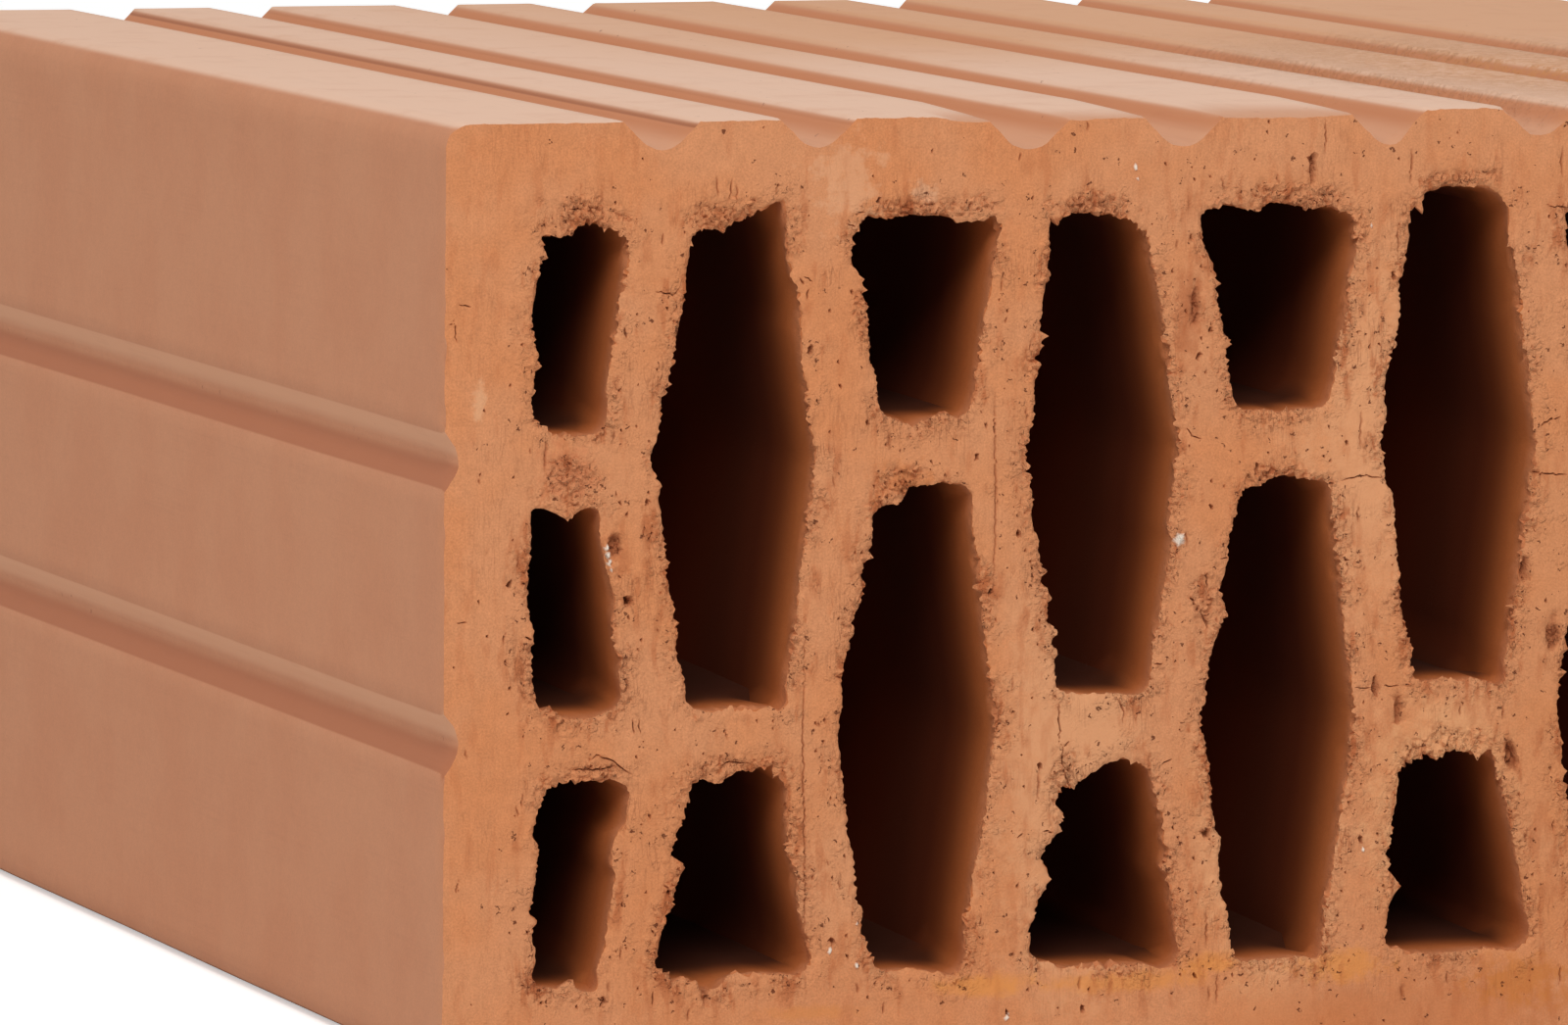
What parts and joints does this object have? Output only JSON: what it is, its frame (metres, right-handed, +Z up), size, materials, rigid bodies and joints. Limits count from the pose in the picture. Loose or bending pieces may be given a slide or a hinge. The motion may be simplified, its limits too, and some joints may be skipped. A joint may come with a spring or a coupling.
{
  "type": "hollow clay brick",
  "caption": "Fired clay hollow brick lying on a long side, with zigzag webs, chambers cut open at both ends, plaster grooves on top and shallow grooves in both ends.",
  "frame": {"origin": "centre of the underside's bounding rectangle, on the floor that the brick lies on", "axes": "+X along the brick's length, +Y the way its chambers run, from the wire-cut face shown in the picture to the far one, +Z up"},
  "size_m": [0.24, 0.238, 0.115],
  "materials": {
    "fired_clay": "matt, unglazed, wire-cut"
  },
  "bodies": {
    "root": {"hollow_clay_brick": "fired_clay"}
  },
  "joints": []
}
